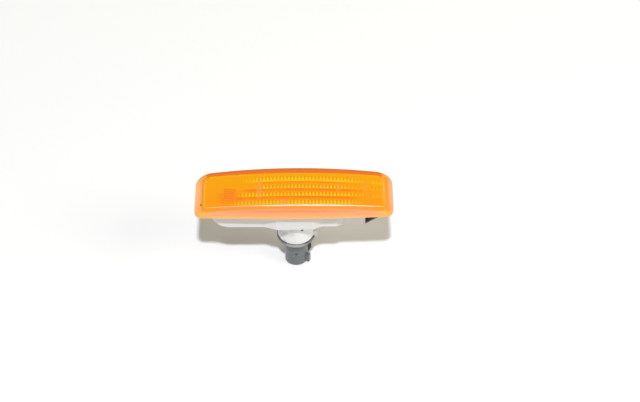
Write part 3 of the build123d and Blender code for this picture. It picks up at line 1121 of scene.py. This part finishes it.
@dataclass
class BulbUnit:
    """Bulb holder with its seal, contacts and bulb."""

    dresser: Dresser
    moulding: DarkMoulding = DarkMoulding()
    rubber: SealRubber = SealRubber()
    brass: SheetMetal = SheetMetal("contact_brass", (0.8, 0.58, 0.26), (0.5, 0.34, 0.14))
    wire: SheetMetal = SheetMetal("lead_wire", (0.7, 0.68, 0.64), (0.4, 0.37, 0.33))
    tungsten: SheetMetal = SheetMetal("filament_wire", (0.33, 0.32, 0.31), (0.2, 0.19, 0.18))
    glass: ClearGlass = ClearGlass()
    coil_turns: int = 26
    coil_steps: int = 14
    wire_radius: float = 0.055 * MM
    wire_resolution: int = 1

    def build(self) -> None:
        """Dress the holder and the bulb, and wind the filament."""
        self.dresser.dress("bulb_holder", self.moulding.make())
        self.dresser.dress("holder_seal", self.rubber.make())
        brass, wire = self.brass.make(), self.wire.make()
        for side in ("positive", "earth"):
            self.dresser.dress(f"contact_{side}", brass)
            self.dresser.dress(f"bulb_lead_{side}", wire)
        self.dresser.dress("bulb_filament", wire)
        tungsten = self.tungsten.make()
        coil = add_piece("filament_coil", self.coil_mesh(), tungsten, Body.BULB_UNIT)
        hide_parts("bulb_filament")
        self.dresser.dress("bulb_glass", self.glass.make())

    def coil_mesh(self) -> bpy.types.Mesh:
        """Fine coil along the arch that the filament's solid fills.

        Returns:
            Mesh of the coil.
        """
        low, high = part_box("bulb_filament")
        coil_radius = (high.y - low.y) / 2
        arch_radius = (high.x - low.x) / 2 - coil_radius
        middle = Vector(((low.x + high.x) / 2, (low.y + high.y) / 2, high.z - coil_radius - arch_radius))
        sideways = Vector((0.0, 1.0, 0.0))
        count = self.coil_turns * self.coil_steps
        curve = bpy.data.curves.new("filament_path", "CURVE")
        curve.dimensions = "3D"
        curve.bevel_depth = self.wire_radius
        curve.bevel_resolution = self.wire_resolution
        curve.use_fill_caps = True
        path = curve.splines.new("POLY")
        path.points.add(count)
        for index, point in enumerate(path.points):
            turn = pi * index / count
            outward = Vector((cos(turn), 0.0, sin(turn)))
            winding = 2 * pi * index / self.coil_steps
            around = outward * cos(winding) + sideways * sin(winding)
            place = middle + outward * arch_radius + around * (coil_radius - self.wire_radius)
            point.co = (*place, 1.0)
        holder = bpy.data.objects.new("filament_path", curve)
        mesh = bpy.data.meshes.new_from_object(holder)
        bpy.data.objects.remove(holder)
        bpy.data.curves.remove(curve)
        return mesh


@dataclass(frozen=True)
class AreaLamp:
    """Flat studio lamp that looks at the lens.

    Attributes:
        name: Name of the lamp.
        azimuth: Its place in degrees to the right, counted from the camera's side.
        elevation: Its height in degrees.
        distance: How far it hangs from the lens.
        width: Its width.
        height: Its height.
        radiance: How bright its surface is.
        colour: Colour of its light.
        shape: Its outline.
    """

    name: str
    azimuth: float
    elevation: float
    distance: float
    width: float
    height: float
    radiance: float
    colour: Colour = WHITE
    shape: LampShape = LampShape.RECTANGLE

    def build(self) -> None:
        """Hang the lamp, where the camera doesn't see it."""
        light = bpy.data.lights.new(self.name, "AREA")
        light.shape = self.shape.value
        light.size = self.width
        light.size_y = self.height
        area = self.width * self.height * (pi / 4 if self.shape is LampShape.ELLIPSE else 1.0)
        light.energy = self.radiance * pi * area
        light.color = self.colour
        lamp = bpy.data.objects.new(self.name, light)
        bpy.context.scene.collection.objects.link(lamp)
        turn, rise = radians(self.azimuth), radians(self.elevation)
        way = Vector((sin(turn) * cos(rise), -cos(turn) * cos(rise), sin(rise)))
        lamp.location = way * self.distance
        lamp.rotation_euler = way.to_track_quat("Z", "Y").to_euler()
        lamp.visible_camera = False


@dataclass
class Studio:
    """Floor, lamps, surrounding light, dark card and camera.

    The camera's fields place the lamp's origin in the image, in pixels, and its angles are in degrees.
    """

    floor_level: float
    floor_size: float = 8.0
    paper: FloorPaper = FloorPaper()
    ambient: float = 0.21
    ambient_colour: Colour = (1.0, 0.955, 0.76)
    lamps: tuple[AreaLamp, ...] = (
        AreaLamp(
            "key_lamp", azimuth=1.6, elevation=59.0, distance=2.4, width=0.125, height=0.125,
            radiance=1200.0, colour=KEY_LIGHT, shape=LampShape.ELLIPSE,
        ),
        AreaLamp(
            "overhead_softbox", azimuth=0.0, elevation=89.0, distance=1.5, width=0.7, height=0.3,
            radiance=1.9,
        ),
        AreaLamp(
            "left_panel", azimuth=215.6, elevation=29.5, distance=1.5, width=0.5, height=0.5,
            radiance=2.2, colour=WARM_LIGHT,
        ),
        AreaLamp(
            "right_panel", azimuth=144.4, elevation=29.5, distance=1.5, width=0.5, height=0.5,
            radiance=2.6, colour=WARM_LIGHT,
        ),
        AreaLamp(
            "fill_panel", azimuth=70.0, elevation=35.0, distance=1.5, width=0.7, height=0.7,
            radiance=3.9, colour=WARM_LIGHT,
        ),
    )
    velvet: CardVelvet = CardVelvet()
    card_distance: float = 0.5
    card_width: float = 0.68
    card_height: float = 1.0
    image_width: int = 640
    image_height: int = 402
    origin_column: float = 294.15
    origin_row: float = 195.5
    view_elevation: float = 45.0
    view_distance: float = 1.0
    focal_pixels: float = 1859.0
    roll: float = 0.45
    sensor: float = 36.0

    def build(self) -> None:
        """Set up the studio."""
        self.lay_floor()
        self.light_world()
        for lamp in self.lamps:
            lamp.build()
        self.stand_card()
        self.stand_camera()

    def lay_floor(self) -> None:
        """Lay a pale floor under the lamp."""
        mesh = bpy.data.meshes.new("floor")
        shape = bmesh.new()
        bmesh.ops.create_grid(shape, x_segments=2, y_segments=2, size=self.floor_size / 2)
        shape.to_mesh(mesh)
        shape.free()
        floor = bpy.data.objects.new("floor", mesh)
        floor.location.z = self.floor_level
        bpy.context.scene.collection.objects.link(floor)
        mesh.materials.append(self.paper.make())

    def light_world(self) -> None:
        """Surround the lamp with dim warm light, and show it a white room."""
        sky = Bench(bpy.data.worlds.new("studio_world"))
        bpy.context.scene.world = sky.owner
        seen = sky.node("ShaderNodeLightPath", output="Is Camera Ray")
        for ray in ("Is Glossy Ray", "Is Transmission Ray"):
            seen = seen.math("MAXIMUM", sky.node("ShaderNodeLightPath", output=ray))
        colour = sky.blend(seen, self.ambient_colour, WHITE)
        strength = self.ambient + (1.0 - self.ambient) * seen
        shader = sky.node("ShaderNodeBackground", inputs={0: colour, 1: strength})
        sky.add("ShaderNodeOutputWorld", inputs={"Surface": shader})

    def stand_card(self) -> None:
        """Stand a dark card behind the lamp, which keeps the lens's face clear of pale reflections."""
        mesh = bpy.data.meshes.new("dark_card")
        half, low, high = self.card_width / 2, self.floor_level, self.floor_level + self.card_height
        corners = [(-half, 0.0, low), (half, 0.0, low), (half, 0.0, high), (-half, 0.0, high)]
        mesh.from_pydata(corners, [], [(0, 1, 2, 3)])
        card = bpy.data.objects.new("dark_card", mesh)
        card.location.y = self.card_distance
        bpy.context.scene.collection.objects.link(card)
        card.visible_camera = card.visible_diffuse = False
        card.visible_shadow = card.visible_transmission = False
        mesh.materials.append(self.velvet.make())

    def stand_camera(self) -> None:
        """Stand the camera where the lamp's origin falls on its place in the image."""
        rise, tilt = radians(self.view_elevation), radians(self.roll)
        forward = Vector((0.0, cos(rise), -sin(rise)))
        level_up = Vector((0.0, sin(rise), cos(rise)))
        level_right = Vector((1.0, 0.0, 0.0))
        right = level_right * cos(tilt) - level_up * sin(tilt)
        up = level_up * cos(tilt) + level_right * sin(tilt)
        across = (self.origin_column - self.image_width / 2) / self.focal_pixels
        rising = (self.image_height / 2 - self.origin_row) / self.focal_pixels
        eye = -self.view_distance * (forward + across * right + rising * up)
        data = bpy.data.cameras.new("camera")
        data.sensor_width = self.sensor
        data.lens = self.focal_pixels / self.image_width * self.sensor
        camera = bpy.data.objects.new("camera", data)
        bpy.context.scene.collection.objects.link(camera)
        turn = Matrix((right, up, -forward)).transposed().to_4x4()
        camera.matrix_world = Matrix.Translation(eye) @ turn
        bpy.context.scene.camera = camera


def main() -> None:
    """Build the lamp's looks and the studio around it."""
    logging.basicConfig(level=logging.INFO, format="%(name)s: %(message)s")
    bpy.context.scene.view_settings.view_transform = "Standard"
    dresser = Dresser(frame["nodes"])
    for assembly in (Lens(dresser), Housing(dresser), BulbUnit(dresser)):
        assembly.build()
    floor_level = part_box("bulb_holder")[0].z
    Studio(floor_level).build()


if __name__ == "__main__":
    main()
